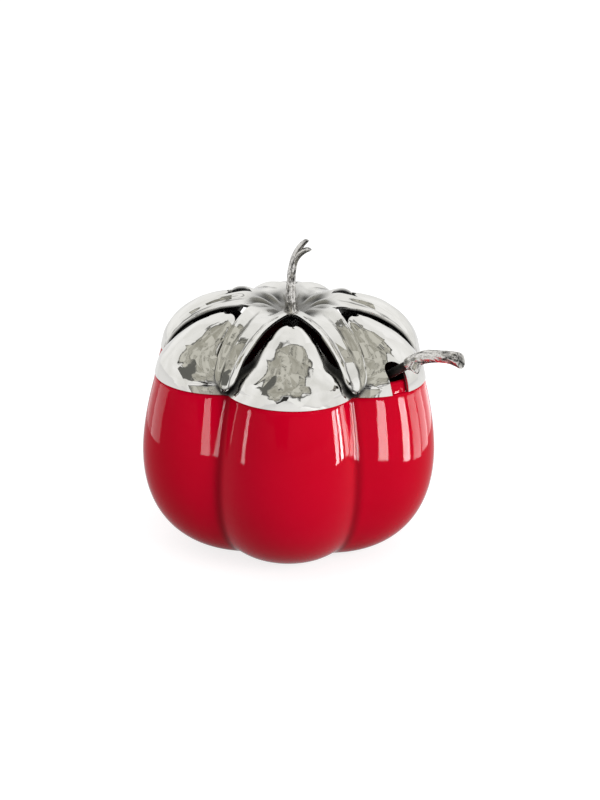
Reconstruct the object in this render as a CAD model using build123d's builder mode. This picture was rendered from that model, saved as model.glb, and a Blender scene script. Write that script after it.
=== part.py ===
import os
from math import acos, atan2, cos, degrees, radians, sin, sqrt, tan

from build123d import *

# Driving dimensions, in millimetres and degrees.
# The frame stands at the middle of the foot, +Z up, with +X through the spoon slot.

# Lobes
lobe_count = 6
lobe_turn = 11.0
lobe_step = 360 / lobe_count

# Pot
foot_radius = 21.0
belly_radius = 55.0
belly_height = 38.0
rim_radius = 50.3
rim_height = 65.0
foot_groove_depth = 2.8
belly_groove_depth = 7.4
rim_groove_depth = 8.4
pot_wall = 4.0
pot_floor = 4.5
neck_height = 3.6
neck_bevel = 0.6
lower_bulge = 2.2
upper_bulge = 1.7

# Lid
sheet = 1.1
seat_clearance = 0.2
skirt_clearance = 0.45
dome_rise = 22.2
dome_flat_radius = 14.0
groove_sheet_factor = 1.25
band_height = 2.5
band_groove_depth = 11.0
tab_drop = 1.2
tab_width_share = 0.88
tab_taper = 0.57
tab_root = 0.6
tab_inset = 0.1
tab_return = 0.2
tab_curl_height = 4.0
slot_width = 7.4
slot_height = 10.2

# Calyx
leaf_sheet = 0.9
leaf_lift = 0.5
leaf_half_width = 6.0
leaf_ridge = 1.6
leaf_crown_inset = 1.0
leaf_tip_inset = 5.5
leaf_tip_rise = 3.0
lug_width = 3.0
lug_overlap = 1.2
hub_sink = 4.8
hub_radius = 5.0
hub_thickness = 1.8

# Stem and its fastening
stud_radius = 1.5
stud_clearance = 0.1
thread_clearance = 0.05
stem_foot_radius = 3.4
stem_foot_clearance = 0.2
stem_radius = 1.7
stem_height = 27.2
stem_lean = 7.4
washer_radius = 3.6
washer_thickness = 0.6
nut_across_flats = 5.5
nut_height = 2.4
stud_overhang = 1.0

# Spoon
spoon_slope = 36.0
shank_radius = 1.5
shank_clearance = 0.3
spoon_reach = 102.0
bowl_half_width = 11.0
bowl_depth = 6.5
bowl_toe = 18.0
bowl_heel = 15.0
bowl_sheet = 1.1
heel_overlap = 5.0
handle_start = 2.0
handle_radius = 2.2
handle_length = 18.0
handle_rise = 3.6
socket_depth = 5.0
solder_clearance = 0.05
knot_radius = 1.6
knot_length = 4.6
knot_tilt = 34.0


# Values worked out from the driving dimensions
half_step = lobe_step / 2
lobe_angles = [lobe_turn + lobe_step * index for index in range(lobe_count)]
groove_turn = lobe_turn + half_step
neck_top = rim_height + neck_height
lid_bottom = rim_height + seat_clearance
band_top = lid_bottom + band_height


def polar(radius, angle):
    return (radius * cos(radians(angle)), radius * sin(radians(angle)))


def lobed_section(height, crest, groove):
    """One closed outline of round lobes that meet in sharp grooves."""
    with BuildSketch(Plane.XY.offset(height)) as section:
        with BuildLine():
            for angle in lobe_angles:
                ThreePointArc(
                    polar(groove, angle - half_step),
                    polar(crest, angle),
                    polar(groove, angle + half_step),
                )
        make_face()
    return section.sketch


def lobe_reach(crest, groove, angle):
    """Radius of a lobed outline at an angle from one of its crests."""
    middle = (crest**2 - groove**2) / (2 * (crest - groove * cos(radians(half_step))))
    along = middle * cos(radians(angle))
    across = middle * sin(radians(angle))
    return along + sqrt((crest - middle) ** 2 - across**2)


def lobed_loft(sections, straight=False):
    """A solid through outlines given as height, crest radius and groove radius."""
    with BuildPart() as body:
        loft([lobed_section(*section) for section in sections], ruled=straight)
    return body.part


def between(start, end, share):
    return start + (end - start) * share


def bowl_curve(height, bottom, foot, belly):
    """Radius of the round lower half at a height, flat at the bottom and upright at the belly."""
    drop = (belly_height - height) / (belly_height - bottom)
    return foot + (belly - foot) * (1 - drop**lower_bulge) ** (1 / lower_bulge)


def shoulder_curve(height):
    """Radius of the upper half of the pot, drawn in from the belly to the rim."""
    rise = (height - belly_height) / (rim_height - belly_height)
    return belly_radius - (belly_radius - rim_radius) * rise**upper_bulge


def lower_heights(bottom, count):
    """Heights from the bottom to the belly, close together where the curve is flat."""
    span = belly_height - bottom
    return [bottom + span * (1 - cos(radians(90 * step / count))) for step in range(count + 1)]


def upper_heights(count):
    return [between(belly_height, rim_height, step / count) for step in range(1, count + 1)]


def groove_depth(height):
    if height < belly_height:
        return between(foot_groove_depth, belly_groove_depth, sqrt(height / belly_height))
    rise = (height - belly_height) / (rim_height - belly_height)
    return between(belly_groove_depth, rim_groove_depth, rise)


# Pot body
lower_steps = 6
upper_steps = 3

pot_outside = []
for level in lower_heights(0, lower_steps):
    radius = bowl_curve(level, 0, foot_radius, belly_radius)
    pot_outside.append((level, radius, radius - groove_depth(level)))
for level in upper_heights(upper_steps):
    radius = shoulder_curve(level)
    pot_outside.append((level, radius, radius - groove_depth(level)))

neck_drop = sheet + skirt_clearance


def dome_radius(height, offset):
    """Radius of the lid's crests at a height, or of a surface inside them."""
    rise = (height - rim_height) / (dome_rise - offset)
    return dome_flat_radius + (rim_radius - dome_flat_radius - offset) * sqrt(1 - rise**2)


def dome_groove(height, offset):
    """Radius of the grooves of the lid's band at a height, or of a surface inside them."""
    share = (height - rim_height) / (band_top - rim_height)
    depth = between(rim_groove_depth, band_groove_depth, share)
    return dome_radius(height, 0) - depth - offset * groove_sheet_factor


def widened(section, height, growth):
    """The same outline at another height, wider or narrower by a bevel."""
    return (height, section[1] + growth, section[2] + growth)


neck_foot = (rim_height, dome_radius(rim_height, neck_drop), dome_groove(rim_height, neck_drop))
neck_lip = (neck_top, dome_radius(neck_top, neck_drop), dome_groove(neck_top, neck_drop))
bevel_level = neck_top - neck_bevel
neck_outside = [neck_foot, widened(neck_lip, bevel_level, 0), widened(neck_lip, neck_top, -neck_bevel)]

pot_inside = []
for level in lower_heights(pot_floor, lower_steps):
    radius = bowl_curve(level, pot_floor, foot_radius - pot_wall, belly_radius - pot_wall)
    pot_inside.append((level, radius, radius - groove_depth(level)))
for level in upper_heights(upper_steps):
    radius = shoulder_curve(level) - pot_wall
    pot_inside.append((level, radius, radius - groove_depth(level)))
mouth_crest = pot_inside[-1][1] - (neck_foot[1] - neck_lip[1])
mouth_groove = pot_inside[-1][2] - (neck_foot[2] - neck_lip[2])
mouth = (neck_top, mouth_crest, mouth_groove)
pot_inside.append(mouth)
mouth_bevel = [widened(mouth, bevel_level, 0), widened(mouth, neck_top, neck_bevel)]

with BuildPart() as pot_body:
    add(lobed_loft(pot_outside))
    add(lobed_loft(neck_outside, straight=True))
    add(lobed_loft(pot_inside), mode=Mode.SUBTRACT)
    add(lobed_loft(mouth_bevel, straight=True), mode=Mode.SUBTRACT)

# Lid dome: a band on the rim that carries one rounded tab over each lobe
tab_top = rim_height + dome_rise - tab_drop
slot_round_height = lid_bottom + slot_height - slot_width / 2


def band_section(height, offset):
    return (height, dome_radius(height, offset), dome_groove(height, offset))


def tab_half_width(height):
    """Half the width of a tab at a height: a round arch that closes at the tab's top."""
    start = tab_width_share * dome_groove(band_top, 0) * sin(radians(half_step))
    return start * ((tab_top - height) / (tab_top - band_top)) ** tab_taper


def tab_depth(height):
    """How far a tab's edges lie behind its crest: the band's own arc at first, then half a circle."""
    half_chord = dome_groove(band_top, 0) * sin(radians(half_step))
    arc_depth = dome_radius(band_top, 0) - dome_groove(band_top, 0) * cos(radians(half_step))
    band_arc_radius = (half_chord**2 + arc_depth**2) / (2 * arc_depth)
    half_width = tab_half_width(height)
    band_depth = band_arc_radius - sqrt(band_arc_radius**2 - half_width**2)
    share = min(1, max(0, (height - band_top) / tab_curl_height))
    return between(band_depth, half_width, share)


def tab_section(height, crest, half_width, depth, back):
    """Outline of a tab on the +X side: an arc over the lobe, closed behind."""
    edge = crest - depth
    with BuildSketch(Plane.XY.offset(height)) as section:
        with BuildLine():
            ThreePointArc((edge, -half_width), (crest, 0), (edge, half_width))
            Polyline((edge, half_width), (edge - back, half_width), (edge - back, -half_width),
                     (edge, -half_width))
        make_face()
    return section.sketch


# The tabs are thinner than the band, so that their roots stand inside its wall
tab_sheet = sheet - 2 * tab_inset
tab_shares = (0, 0.15, 0.32, 0.5, 0.68, 0.84, 0.94, 0.985)
tab_levels = [between(band_top - tab_root, tab_top, share) for share in tab_shares]

with BuildPart() as tab:
    outer_sections = []
    inner_sections = []
    for level, share in zip(tab_levels, tab_shares):
        crest = dome_radius(level, 0) - tab_inset
        half_width = tab_half_width(level)
        depth = tab_depth(level)
        outer_sections.append(tab_section(level, crest, half_width, depth, tab_return))
        inner_sections.append(
            tab_section(
                level - tab_sheet * share,
                crest - tab_sheet,
                half_width - tab_sheet,
                depth - tab_sheet,
                3 * tab_sheet,
            )
        )
    loft(outer_sections)
    loft(inner_sections, mode=Mode.SUBTRACT)

with BuildPart() as lid_dome:
    add(lobed_loft([band_section(lid_bottom, 0), band_section(band_top, 0)]))
    add(lobed_loft([band_section(lid_bottom, sheet), band_section(band_top, sheet)]), mode=Mode.SUBTRACT)
    with PolarLocations(0, lobe_count, start_angle=lobe_turn):
        add(tab.part)
    with BuildSketch(Plane.YZ.offset(belly_radius / 2)):
        with Locations((0, lid_bottom)):
            Rectangle(slot_width, 2 * (slot_round_height - lid_bottom))
        with Locations((0, slot_round_height)):
            Circle(slot_width / 2)
    extrude(amount=belly_radius, mode=Mode.SUBTRACT)

# Calyx: six roof-shaped leaves over the grooves, joined in a sunken hub
leaf_crown_radius = dome_flat_radius - leaf_crown_inset
leaf_span = rim_radius - leaf_tip_inset - leaf_crown_radius
leaf_rise = dome_rise + leaf_lift
leaf_end_turn = degrees(acos(leaf_tip_rise / leaf_rise))
hub_height = rim_height + leaf_rise - hub_sink
hub_bottom = hub_height - hub_thickness
hub_slope = -degrees(atan2(hub_sink, leaf_crown_radius))
sector_reach = rim_radius / cos(radians(half_step))

# Shares of the leaf's length, of its half width and of its ridge
leaf_shape = [
    (0.0, 1.38, 1.0),
    (0.18, 1.17, 1.0),
    (0.36, 1.0, 1.06),
    (0.62, 0.85, 0.95),
    (0.82, 0.7, 0.65),
    (0.94, 0.54, 0.44),
    (1.0, 0.27, 0.25),
]


def leaf_point(turn):
    """Place on the leaf's ridge, by the angle round its curve from the crown."""
    return (
        leaf_crown_radius + leaf_span * sin(radians(turn)),
        rim_height + leaf_rise * cos(radians(turn)),
    )


def leaf_slope(turn):
    """Direction along the ridge, as an angle below the horizontal."""
    return degrees(atan2(leaf_rise * sin(radians(turn)), leaf_span * cos(radians(turn))))


def leaf_section(radius, height, slope, width_share, ridge_share):
    """A thin roof across the leaf, square to its ridge."""
    half_width = leaf_half_width * width_share
    ridge = leaf_ridge * ridge_share
    leaf_plane = Plane(
        origin=(radius, 0, height),
        x_dir=(0, 1, 0),
        z_dir=(cos(radians(slope)), 0, -sin(radians(slope))),
    )
    with BuildSketch(leaf_plane) as section:
        with BuildLine():
            Polyline(
                (-half_width, -ridge),
                (0, 0),
                (half_width, -ridge),
                (half_width, -ridge - leaf_sheet),
                (0, -leaf_sheet),
                (-half_width, -ridge - leaf_sheet),
                close=True,
            )
        make_face()
    return section.sketch


with BuildPart() as leaf:
    hub_shape = leaf_shape[0][1:]
    leaf_sections = [
        leaf_section(0, hub_height, hub_slope, *hub_shape),
        leaf_section(leaf_crown_radius / 2, hub_height + hub_sink / 2, hub_slope, *hub_shape),
    ]
    for share, width_share, ridge_share in leaf_shape:
        turn = leaf_end_turn * share
        leaf_sections.append(leaf_section(*leaf_point(turn), leaf_slope(turn), width_share, ridge_share))
    loft(leaf_sections)
    with BuildSketch(Plane.XY.offset(rim_height)):
        with BuildLine():
            Polyline((0, 0), polar(sector_reach, half_step), polar(sector_reach, -half_step), close=True)
        make_face()
    extrude(amount=2 * leaf_rise, mode=Mode.INTERSECT)

# A lug behind each leaf tip rests on the upper edge of the lid's band and is soldered to it
lug_start = dome_groove(band_top, 0)
lug_end = leaf_crown_radius + leaf_span - leaf_sheet / 2
lug_bottom = band_top + solder_clearance
lug_top = rim_height + leaf_tip_rise + lug_overlap

with BuildPart() as leaf_lug:
    with BuildSketch(Plane.XY.offset(lug_bottom)):
        with Locations(((lug_start + lug_end) / 2, 0)):
            Rectangle(lug_end - lug_start, lug_width)
    extrude(amount=lug_top - lug_bottom)

with BuildPart() as calyx:
    with PolarLocations(0, lobe_count, start_angle=groove_turn):
        add(leaf.part)
        add(leaf_lug.part)
    with BuildSketch(Plane.XY.offset(hub_bottom)):
        Circle(hub_radius)
    extrude(amount=hub_thickness)
    with BuildSketch(Plane.XY.offset(hub_height)):
        Circle(stem_foot_radius + stem_foot_clearance)
    extrude(amount=leaf_rise, mode=Mode.SUBTRACT)
    with BuildSketch(Plane.XY.offset(hub_bottom)):
        Circle(hub_radius)
    extrude(amount=-hub_radius, mode=Mode.SUBTRACT)
    with Locations((0, 0, hub_height)):
        Hole(stud_radius + stud_clearance)


def twig_section(place, direction, radius):
    """A round cut across a twig that bends in the XZ plane."""
    with BuildSketch(Plane(origin=place, x_dir=(0, 1, 0), z_dir=direction)) as section:
        Circle(radius)
    return section.sketch


def twig_loft(stations):
    """A bent round twig through stations given as x, z and radius."""
    sections = []
    for index, (x, z, radius) in enumerate(stations):
        before = stations[max(index - 1, 0)]
        after = stations[min(index + 1, len(stations) - 1)]
        sections.append(twig_section((x, 0, z), (after[0] - before[0], 0, after[1] - before[1]), radius))
    with BuildPart() as body:
        loft(sections)
    return body.part


# Stem, by shares of its lean, of its height and of its radius
stem_shape = [
    (0.0, 0.06, 1.3),
    (-0.07, 0.26, 1.0),
    (-0.05, 0.52, 0.85),
    (0.18, 0.74, 0.82),
    (0.57, 0.9, 0.88),
    (1.0, 1.0, 1.03),
]
stem_stations = [(0, hub_height, stem_foot_radius)]
for lean_share, height_share, radius_share in stem_shape:
    station = (stem_lean * lean_share, hub_height + stem_height * height_share, stem_radius * radius_share)
    stem_stations.append(station)

washer_bottom = hub_bottom - washer_thickness
nut_bottom = washer_bottom - nut_height

with BuildPart() as stem:
    add(twig_loft(stem_stations))
    with BuildSketch(Plane.XY.offset(hub_height)):
        Circle(stud_radius)
    extrude(amount=-(hub_height - nut_bottom + stud_overhang))

with BuildPart() as stem_washer:
    with BuildSketch(Plane.XY.offset(washer_bottom)):
        Circle(washer_radius)
        Circle(stud_radius + stud_clearance, mode=Mode.SUBTRACT)
    extrude(amount=washer_thickness)

with BuildPart() as stem_nut:
    with BuildSketch(Plane.XY.offset(nut_bottom)):
        RegularPolygon(nut_across_flats / 2, 6, major_radius=False)
        Circle(stud_radius + thread_clearance, mode=Mode.SUBTRACT)
    extrude(amount=nut_height)

# Spoon: the shank lies over the pot's mouth and leaves through the slot
shank_rise = tan(radians(spoon_slope))
shank_half_height = shank_radius / cos(radians(spoon_slope))
slot_radius = dome_radius(neck_top, 0)
mouth_at_shank = lobe_reach(mouth_crest, mouth_groove, lobe_turn + degrees(shank_radius / mouth_crest))
shank_over_mouth = neck_top + shank_clearance + shank_half_height
shank_height = shank_over_mouth + (slot_radius - mouth_at_shank) * shank_rise
shank_direction = (cos(radians(spoon_slope)), 0, sin(radians(spoon_slope)))


def along_shank(distance):
    return (
        slot_radius + distance * shank_direction[0],
        shank_height + distance * shank_direction[2],
    )


shank_plane = Plane(
    origin=(slot_radius, 0, shank_height),
    x_dir=(0, 1, 0),
    z_dir=shank_direction,
)
bowl_middle = -(spoon_reach - bowl_toe)


def egg_half(side, reach, half_width, depth):
    """Half of an egg, stretched from a ball along the spoon and across its depth."""
    with BuildPart() as half:
        Sphere(half_width)
        split(bisect_by=Plane.XY, keep=side)
        scale(by=(1, depth / half_width, reach / half_width))
    return half.part


def egg(trim):
    with BuildPart() as whole:
        add(egg_half(Keep.BOTTOM, bowl_toe - trim, bowl_half_width - trim, bowl_depth - trim))
        add(egg_half(Keep.TOP, bowl_heel - trim, bowl_half_width - trim, bowl_depth - trim))
    return whole.part


with BuildPart() as bowl_shell:
    add(egg(0))
    split(bisect_by=Plane.XZ, keep=Keep.TOP)
    add(egg(bowl_sheet), mode=Mode.SUBTRACT)

with BuildPart(shank_plane) as spoon_bowl:
    with Locations((0, 0, bowl_middle)):
        add(bowl_shell.part)
    shank_bottom = bowl_middle + bowl_heel - heel_overlap
    shank_top = handle_start + socket_depth
    with BuildSketch(shank_plane.offset(shank_bottom)):
        Circle(shank_radius)
    extrude(amount=shank_top - shank_bottom)

handle_foot = along_shank(handle_start)
handle_elbow = along_shank(handle_start + socket_depth)

# Handle beyond its socket, by shares of its length, of its rise and of its radius
handle_shape = [
    (0.24, 0.48, 0.95),
    (0.51, 0.81, 0.89),
    (0.78, 1.0, 0.95),
    (1.0, 1.0, 1.14),
]
handle_stations = [(*handle_foot, handle_radius), (*handle_elbow, handle_radius)]
for length_share, rise_share, radius_share in handle_shape:
    station_x = handle_elbow[0] + handle_length * length_share
    station_z = handle_elbow[1] + handle_rise * rise_share
    handle_stations.append((station_x, station_z, handle_radius * radius_share))

knot_plane = Plane(
    origin=(handle_elbow[0], 0, handle_elbow[1]),
    x_dir=(1, 0, 0),
    z_dir=(0, -sin(radians(knot_tilt)), -cos(radians(knot_tilt))),
)

with BuildPart() as spoon_handle:
    add(twig_loft(handle_stations))
    with BuildSketch(knot_plane):
        Circle(knot_radius)
    extrude(amount=knot_length)
    with BuildSketch(shank_plane):
        Circle(shank_radius + solder_clearance)
    extrude(amount=handle_start + socket_depth, mode=Mode.SUBTRACT)

os.makedirs("parts", exist_ok=True)

nodes = {
    "pot_body": pot_body,
    "lid_dome": lid_dome,
    "calyx": calyx,
    "stem": stem,
    "stem_washer": stem_washer,
    "stem_nut": stem_nut,
    "spoon_bowl": spoon_bowl,
    "spoon_handle": spoon_handle,
}
for name, node in nodes.items():
    node.part.label = name
    export_step(node.part, f"parts/{name}.step")
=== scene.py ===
from math import acos, asin, atan2, cos, degrees, pi, radians, sin, sqrt, tan

import bmesh
import bpy
import numpy as np
from mathutils import Matrix, Vector, noise


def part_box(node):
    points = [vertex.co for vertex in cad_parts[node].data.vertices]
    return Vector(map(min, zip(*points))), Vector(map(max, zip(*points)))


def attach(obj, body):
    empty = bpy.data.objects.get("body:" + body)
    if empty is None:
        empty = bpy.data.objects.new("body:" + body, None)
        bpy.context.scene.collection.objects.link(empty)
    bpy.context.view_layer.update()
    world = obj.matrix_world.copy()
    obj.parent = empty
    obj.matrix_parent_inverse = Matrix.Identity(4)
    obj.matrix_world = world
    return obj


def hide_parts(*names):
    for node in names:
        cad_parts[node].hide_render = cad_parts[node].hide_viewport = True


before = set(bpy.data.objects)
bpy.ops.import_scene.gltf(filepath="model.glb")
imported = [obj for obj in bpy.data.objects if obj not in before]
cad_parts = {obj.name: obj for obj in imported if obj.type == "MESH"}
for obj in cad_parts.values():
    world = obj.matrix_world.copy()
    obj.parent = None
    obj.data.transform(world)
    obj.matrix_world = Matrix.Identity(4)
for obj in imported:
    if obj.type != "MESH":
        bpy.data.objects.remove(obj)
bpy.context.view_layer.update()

# Sizes in millimetres and degrees, in the frame of the solids
MM = 0.001

# Lobes
LOBE_COUNT = 6
LOBE_TURN = 11.0
HALF_STEP = 180 / LOBE_COUNT
GROOVE_TURN = LOBE_TURN + HALF_STEP
LOBE_SAMPLES = 48
VALLEY_ROUNDING = 3.6
VALLEY_DEEPER = 3.4
NECK_SOFTNESS = 0.25
INSIDE_SOFTNESS = 0.7
# Share of painted shade along the grooves
GROOVE_SHADE = 0.45

# Pot
FOOT_RADIUS = 21.0
BELLY_RADIUS = 55.0
BELLY_HEIGHT = 38.0
RIM_RADIUS = 50.3
RIM_HEIGHT = 65.0
FOOT_GROOVE, BELLY_GROOVE, RIM_GROOVE = 2.8, 7.4, 8.4
POT_WALL = 4.0
POT_FLOOR = 4.5
NECK_HEIGHT = 3.6
NECK_DROP = 1.55
NECK_BEVEL = 0.6
RIM_ROUND = 0.5
LOWER_BULGE = 2.2
UPPER_BULGE = 1.7

# Lid
LID_SHEET = 1.1
GROOVE_SHEET_FACTOR = 1.25
SEAT_CLEARANCE = 0.2
BAND_HEIGHT = 2.5
LID_BOTTOM = RIM_HEIGHT + SEAT_CLEARANCE
BAND_TOP = LID_BOTTOM + BAND_HEIGHT
BAND_GROOVE = 11.0
BAND_ROWS = 6
DOME_RISE = 22.2
DOME_FLAT = 14.0
TAB_DROP = 1.2
TAB_TOP = RIM_HEIGHT + DOME_RISE - TAB_DROP
TAB_SHARE = 0.88
TAB_TAPER = 0.5
TAB_CURL = 4.0
TAB_BLEND = 9.0
TAB_COLUMNS = 49
TAB_ROWS = 63
TAB_LAST_ROW = 68
# Lobes whose tabs reach further under a leaf, by a factor to the right and to the left
TAB_REACH = {0: (1.25, 1.0), 4: (1.0, 1.25)}
EVEN_REACH = (1.0, 1.0)
SLOT_WIDTH = 6.6
SLOT_HEIGHT = 10.2
SLOT_STEPS = 24
SLOT_OVERCUT = 5
# Painted shade in the lower corners of the tabs: angles round the tab's arc, and heights over the band
CORNER_SWING = 58
CORNER_SOFT = 12
CORNER_RISE = 14
LEAF_CORNER_RISE = 4
CORNER_FADE = 0.45
# Unevenness of the beaten sheet: depth, size and seed of each wave
BEATEN_START = 0.6
BEATEN_FADE = 4
LID_WAVES = ((0.16, 9.0, 1), (0.05, 3.4, 2))

# Calyx
LEAF_SHEET = 0.9
LEAF_HALF_WIDTH = 6.0
LEAF_RIDGE = 1.6
LEAF_CROWN_INSET = 1.0
LEAF_TIP_INSET = 5.5
LEAF_LIFT = 0.5
LEAF_CROWN = DOME_FLAT - LEAF_CROWN_INSET
LEAF_SPAN = RIM_RADIUS - LEAF_TIP_INSET - LEAF_CROWN
LEAF_RISE = DOME_RISE + LEAF_LIFT
LEAF_TIP_RISE = 3.0
LEAF_END_TURN = acos(LEAF_TIP_RISE / LEAF_RISE)
LEAF_COLUMNS = 33
LEAF_WAVES = ((0.14, 8.0, 4), (0.06, 3.0, 5))
HUB_SINK = 4.8
HUB_HEIGHT = RIM_HEIGHT + LEAF_RISE - HUB_SINK
HUB_START = 2.0
PLEAT_DEPTH = 0.75
CHANNEL = 0.42
CREASE_HALF = 0.5

# Bark of the twigs: shares of its three grains, and how they lie round and along a twig
BARK_COARSE, BARK_FINE, BARK_LUMP = 0.6, 0.35, 0.3
BARK_ROUND = 2.6
BARK_FINER = 3.0
COARSE_ALONG, FINE_ALONG = 0.16, 0.6
LUMP_SIZE = 2.2
BARK_TWIST = 0.03

# Stem
STEM_FOOT = 3.4
STEM_RADIUS = 1.7
STEM_HEIGHT = 27.2
STEM_LEAN = 7.4
STEM_BARK = 0.18
STEM_SLANT = 0.6
STEM_AROUND = 56
END_LENGTH = 4.0

# Spoon
SPOON_SLOPE = 36.0
SHANK_RADIUS = 1.5
SPOON_REACH = 102.0
BOWL_HALF_WIDTH = 11.0
BOWL_DEPTH = 6.5
BOWL_TOE = 18.0
BOWL_HEEL = 15.0
BOWL_SHEET = 1.1
BOWL_AROUND = 72
BOWL_RINGS = 18
HEEL_OVERLAP = 5.0
SHANK_AROUND = 32
SHANK_RINGS = 60
HANDLE_START = 2.0
SOCKET_DEPTH = 5.0
HANDLE_RADIUS = 2.2
HANDLE_LENGTH = 16.6
HANDLE_SLANT = 1.1
HANDLE_RISE = 3.6
KNOT_RADIUS = 1.6
KNOT_LENGTH = 4.6
KNOT_TILT = 34.0
HANDLE_BARK = 0.15

# Camera
CAMERA_AZIMUTH = 40.7
CAMERA_ELEVATION = 22.0
CAMERA_DISTANCE = 586.0
CAMERA_ROLL = 1.26
CAMERA_LENS = 73.75
IMAGE_LONG_SIDE = 800
AIM = (0.0, 0.0, 40.0)
AIM_OFF_MIDDLE = (11.1, 25.6)
SENSOR_WIDTH = 36.0


def clamp(value, low=0.0, high=1.0):
    return max(low, min(high, value))


def smooth_step(value):
    value = clamp(value)
    return value * value * (3 - 2 * value)


def between(start, end, share):
    return start + (end - start) * share


def turned(point, angle):
    """A point turned about the pot's axis by an angle in degrees."""
    c, s = cos(radians(angle)), sin(radians(angle))
    return (point[0] * c - point[1] * s, point[0] * s + point[1] * c, point[2])


def ripple(point, size, seed):
    """Smooth noise from -1 to 1 with features of about the given size."""
    place = Vector(point) / size
    return noise.noise(place + Vector((seed * 7.3, seed * 3.1, seed * 5.7)))


def waves(point, parts):
    """Sum of ripples, each with its depth, size and seed."""
    return sum(depth * ripple(point, size, seed) for depth, size, seed in parts)


def off_groove(point):
    """Angle in degrees from the nearest groove, which is the middle of a leaf."""
    turn = degrees(atan2(point.y, point.x)) - GROOVE_TURN
    return (turn + HALF_STEP) % (2 * HALF_STEP) - HALF_STEP


# Mesh making
MERGE_DISTANCE = 0.01


def grid_faces(rows, columns, closed, first=0):
    faces = []
    span = columns if closed else columns - 1
    for row in range(rows - 1):
        for column in range(span):
            after = (column + 1) % columns
            low = first + row * columns
            high = low + columns
            faces.append((low + column, low + after, high + after, high + column))
    return faces


def mesh_object(name, points, faces, merged=True):
    """A new object from points in millimetres, with its doubles merged if asked and its normals outward."""
    mesh = bpy.data.meshes.new(name)
    mesh.from_pydata([tuple(c * MM for c in point) for point in points], [], faces)
    work = bmesh.new()
    work.from_mesh(mesh)
    if merged:
        bmesh.ops.remove_doubles(work, verts=work.verts, dist=MERGE_DISTANCE * MM)
    bmesh.ops.recalc_face_normals(work, faces=work.faces)
    work.to_mesh(mesh)
    work.free()
    piece = bpy.data.objects.new(name, mesh)
    bpy.context.scene.collection.objects.link(piece)
    return piece


def bake(piece):
    """Turns the piece's modifiers into plain mesh."""
    bpy.context.view_layer.update()
    graph = bpy.context.evaluated_depsgraph_get()
    mesh = bpy.data.meshes.new_from_object(piece.evaluated_get(graph))
    piece.modifiers.clear()
    piece.data = mesh


def thicken(piece, thickness):
    solidify = piece.modifiers.new("sheet", "SOLIDIFY")
    solidify.thickness = thickness * MM
    solidify.offset = -1
    solidify.use_even_offset = True
    bake(piece)


def shade(piece, sharp_angle):
    piece.data.shade_smooth()
    piece.data.set_sharp_from_angle(angle=radians(sharp_angle))


def paint(piece, measure):
    """Stores the painted shade and tarnish of each point of the surface, from 0 for bright to 1 for dark.
    """
    shade_and_tarnish = piece.data.attributes.new("shade_and_tarnish", "FLOAT", "POINT")
    for vertex in piece.data.vertices:
        shade_and_tarnish.data[vertex.index].value = clamp(measure(vertex.co / MM, vertex.normal))


def finish_piece(piece, body, material, nodes, sharp_angle=40):
    shade(piece, sharp_angle)
    piece.data.materials.clear()
    piece.data.materials.append(material)
    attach(piece, body)
    if nodes:
        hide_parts(*nodes)


# Materials
RED = (0.57, 0.0006, 0.018)
RED_DEEP = (0.54, 0.0006, 0.015)
RED_LIGHT = (0.60, 0.0006, 0.021)
# Nearly black red for the painted shade inside the pot
INSIDE_SHADE_RED = (0.045, 0.0004, 0.0015)
GLAZE_IOR = 1.12
SILVER = (0.86, 0.85, 0.82)
# Dark ends of the silver and the bark, for painted shade and tarnish
SILVER_SHADE_AND_TARNISH = (0.03, 0.03, 0.028)
BARK = (0.80, 0.78, 0.75)
BARK_SHADE_AND_TARNISH = (0.02, 0.02, 0.019)
STEEL_DARK = (0.16, 0.16, 0.16)
STEEL_LIGHT = (0.26, 0.26, 0.25)
DENT_SIZE = 6.5
DENT_DEPTH = 0.65
WHITE_LEVEL = 1.0
AMBIENT = 0.82
FLOOR_GLOW = 0.8
FLOOR_MIRRORED = 0.45
ROOM_GREY = (0.36, 0.35, 0.30)
ROOM_LIGHT = (0.62, 0.61, 0.55)
ROOM_SHADE = (0.13, 0.13, 0.12)
ROOM_DARK = (0.03, 0.03, 0.028)


def new_material(name):
    material = bpy.data.materials.new(name)
    material.use_nodes = True
    tree = material.node_tree
    return material, tree, tree.nodes["Principled BSDF"]


def noise_node(tree, size, detail=3.0, stretch=(1, 1, 1)):
    """Noise in object space with features of about a size in millimetres."""
    place = tree.nodes.new("ShaderNodeTexCoord")
    mapping = tree.nodes.new("ShaderNodeMapping")
    mapping.inputs["Scale"].default_value = stretch
    texture = tree.nodes.new("ShaderNodeTexNoise")
    texture.inputs["Scale"].default_value = 1 / (size * MM)
    texture.inputs["Detail"].default_value = detail
    tree.links.new(place.outputs["Object"], mapping.inputs["Vector"])
    tree.links.new(mapping.outputs["Vector"], texture.inputs["Vector"])
    return texture.outputs["Fac"]


def range_node(tree, source, low, high, start=0.3, end=0.7):
    node = tree.nodes.new("ShaderNodeMapRange")
    node.inputs["From Min"].default_value = start
    node.inputs["From Max"].default_value = end
    node.inputs["To Min"].default_value = low
    node.inputs["To Max"].default_value = high
    tree.links.new(source, node.inputs["Value"])
    return node.outputs["Result"]


def mix_node(tree, share, first, second):
    node = tree.nodes.new("ShaderNodeMix")
    node.data_type = "RGBA"
    node.inputs["A"].default_value = (*first, 1)
    node.inputs["B"].default_value = (*second, 1)
    tree.links.new(share, node.inputs["Factor"])
    return node.outputs["Result"]


def math_node(tree, operation, first, second=None, clamped=False):
    node = tree.nodes.new("ShaderNodeMath")
    node.operation = operation
    node.use_clamp = clamped
    for index, source in enumerate((first, second)):
        if isinstance(source, (int, float)):
            node.inputs[index].default_value = source
        elif source is not None:
            tree.links.new(source, node.inputs[index])
    return node.outputs["Value"]


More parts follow.
